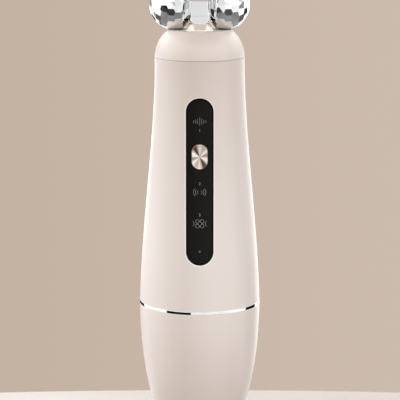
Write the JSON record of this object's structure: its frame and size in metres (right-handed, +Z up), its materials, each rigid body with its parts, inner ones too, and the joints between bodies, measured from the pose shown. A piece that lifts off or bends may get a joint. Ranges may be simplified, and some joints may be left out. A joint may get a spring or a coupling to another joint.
{
  "type": "skin rejuvenation roller device",
  "caption": "Slender vase-shaped handle with a black control panel and oval button, a chrome trim ring, and faceted chrome ball rollers on a post at the top.",
  "frame": {"origin": "centre of the base pad's underside, on the floor", "axes": "+Z up along the handle, -Y out of the control panel, +X to the right seen from the front"},
  "size_m": [0.048, 0.048, 0.1817],
  "materials": {
    "beige_shell": "satin warm beige moulding",
    "mirror_chrome": "mirror plating",
    "soft_grey": "matt silicone",
    "gloss_black": "gloss black lens",
    "clear_pipe": "clear moulding",
    "champagne_metal": "spun champagne metal",
    "dark_plastic": "matt black moulding",
    "steel": "plain steel",
    "brass": "plain brass",
    "white_plastic": "natural white moulding",
    "circuit_green": "circuit board lacquer",
    "cell_blue": null,
    "lead_red": "wire sheath"
  },
  "bodies": {
    "housing": {"tail_cup": "beige_shell", "body_shell": "beige_shell", "neck_cap": "beige_shell", "trim_ring": "mirror_chrome", "roller_bracket": "mirror_chrome", "base_pad": "soft_grey", "tail_seal": "soft_grey", "neck_seal": "soft_grey", "motor_sleeve": "soft_grey", "control_panel": "gloss_black", "light_pipe": "clear_pipe", "switch_body": "dark_plastic", "board_parts": "dark_plastic", "port_tongue": "dark_plastic", "roller_axles": "steel", "axle_clips": "steel", "bracket_screws": "steel", "cap_screws": "steel", "tail_screws": "steel", "charge_screws": "steel", "board_screws": "steel", "motor_can": "steel", "port_shell": "steel", "battery_tabs": "steel", "electrode_pins": "brass", "chassis": "white_plastic", "main_board": "circuit_green", "charge_board": "circuit_green", "battery_cell": "cell_blue", "electrode_leads": "lead_red", "motor_leads": "lead_red", "battery_leads": "lead_red", "charge_leads": "lead_red"},
    "left_roller": {"left_roller": "mirror_chrome", "left_bushes": "white_plastic"},
    "right_roller": {"right_roller": "mirror_chrome", "right_bushes": "white_plastic"},
    "power_button": {"power_button": "champagne_metal", "switch_plunger": "dark_plastic"},
    "motor_rotor": {"motor_shaft": "steel", "eccentric_weight": "brass"}
  },
  "joints": [
    {"name": "left_roller_spin", "type": "hinge", "parent": "housing", "child": "left_roller", "pos_m": [-0.0092, 0, 0.17115], "axis": [1, 0, 0], "continuous": true},
    {"name": "right_roller_spin", "type": "hinge", "parent": "housing", "child": "right_roller", "pos_m": [0.0092, 0, 0.17115], "axis": [1, 0, 0], "continuous": true},
    {"name": "button_press", "type": "slide", "parent": "housing", "child": "power_button", "axis": [0, 1, 0], "range_m": [0, 0.0006], "stiffness_N_per_m": 3000},
    {"name": "motor_spin", "type": "hinge", "parent": "housing", "child": "motor_rotor", "pos_m": [0, 0.005, 0.1318], "axis": [0, 0, 1], "continuous": true}
  ]
}
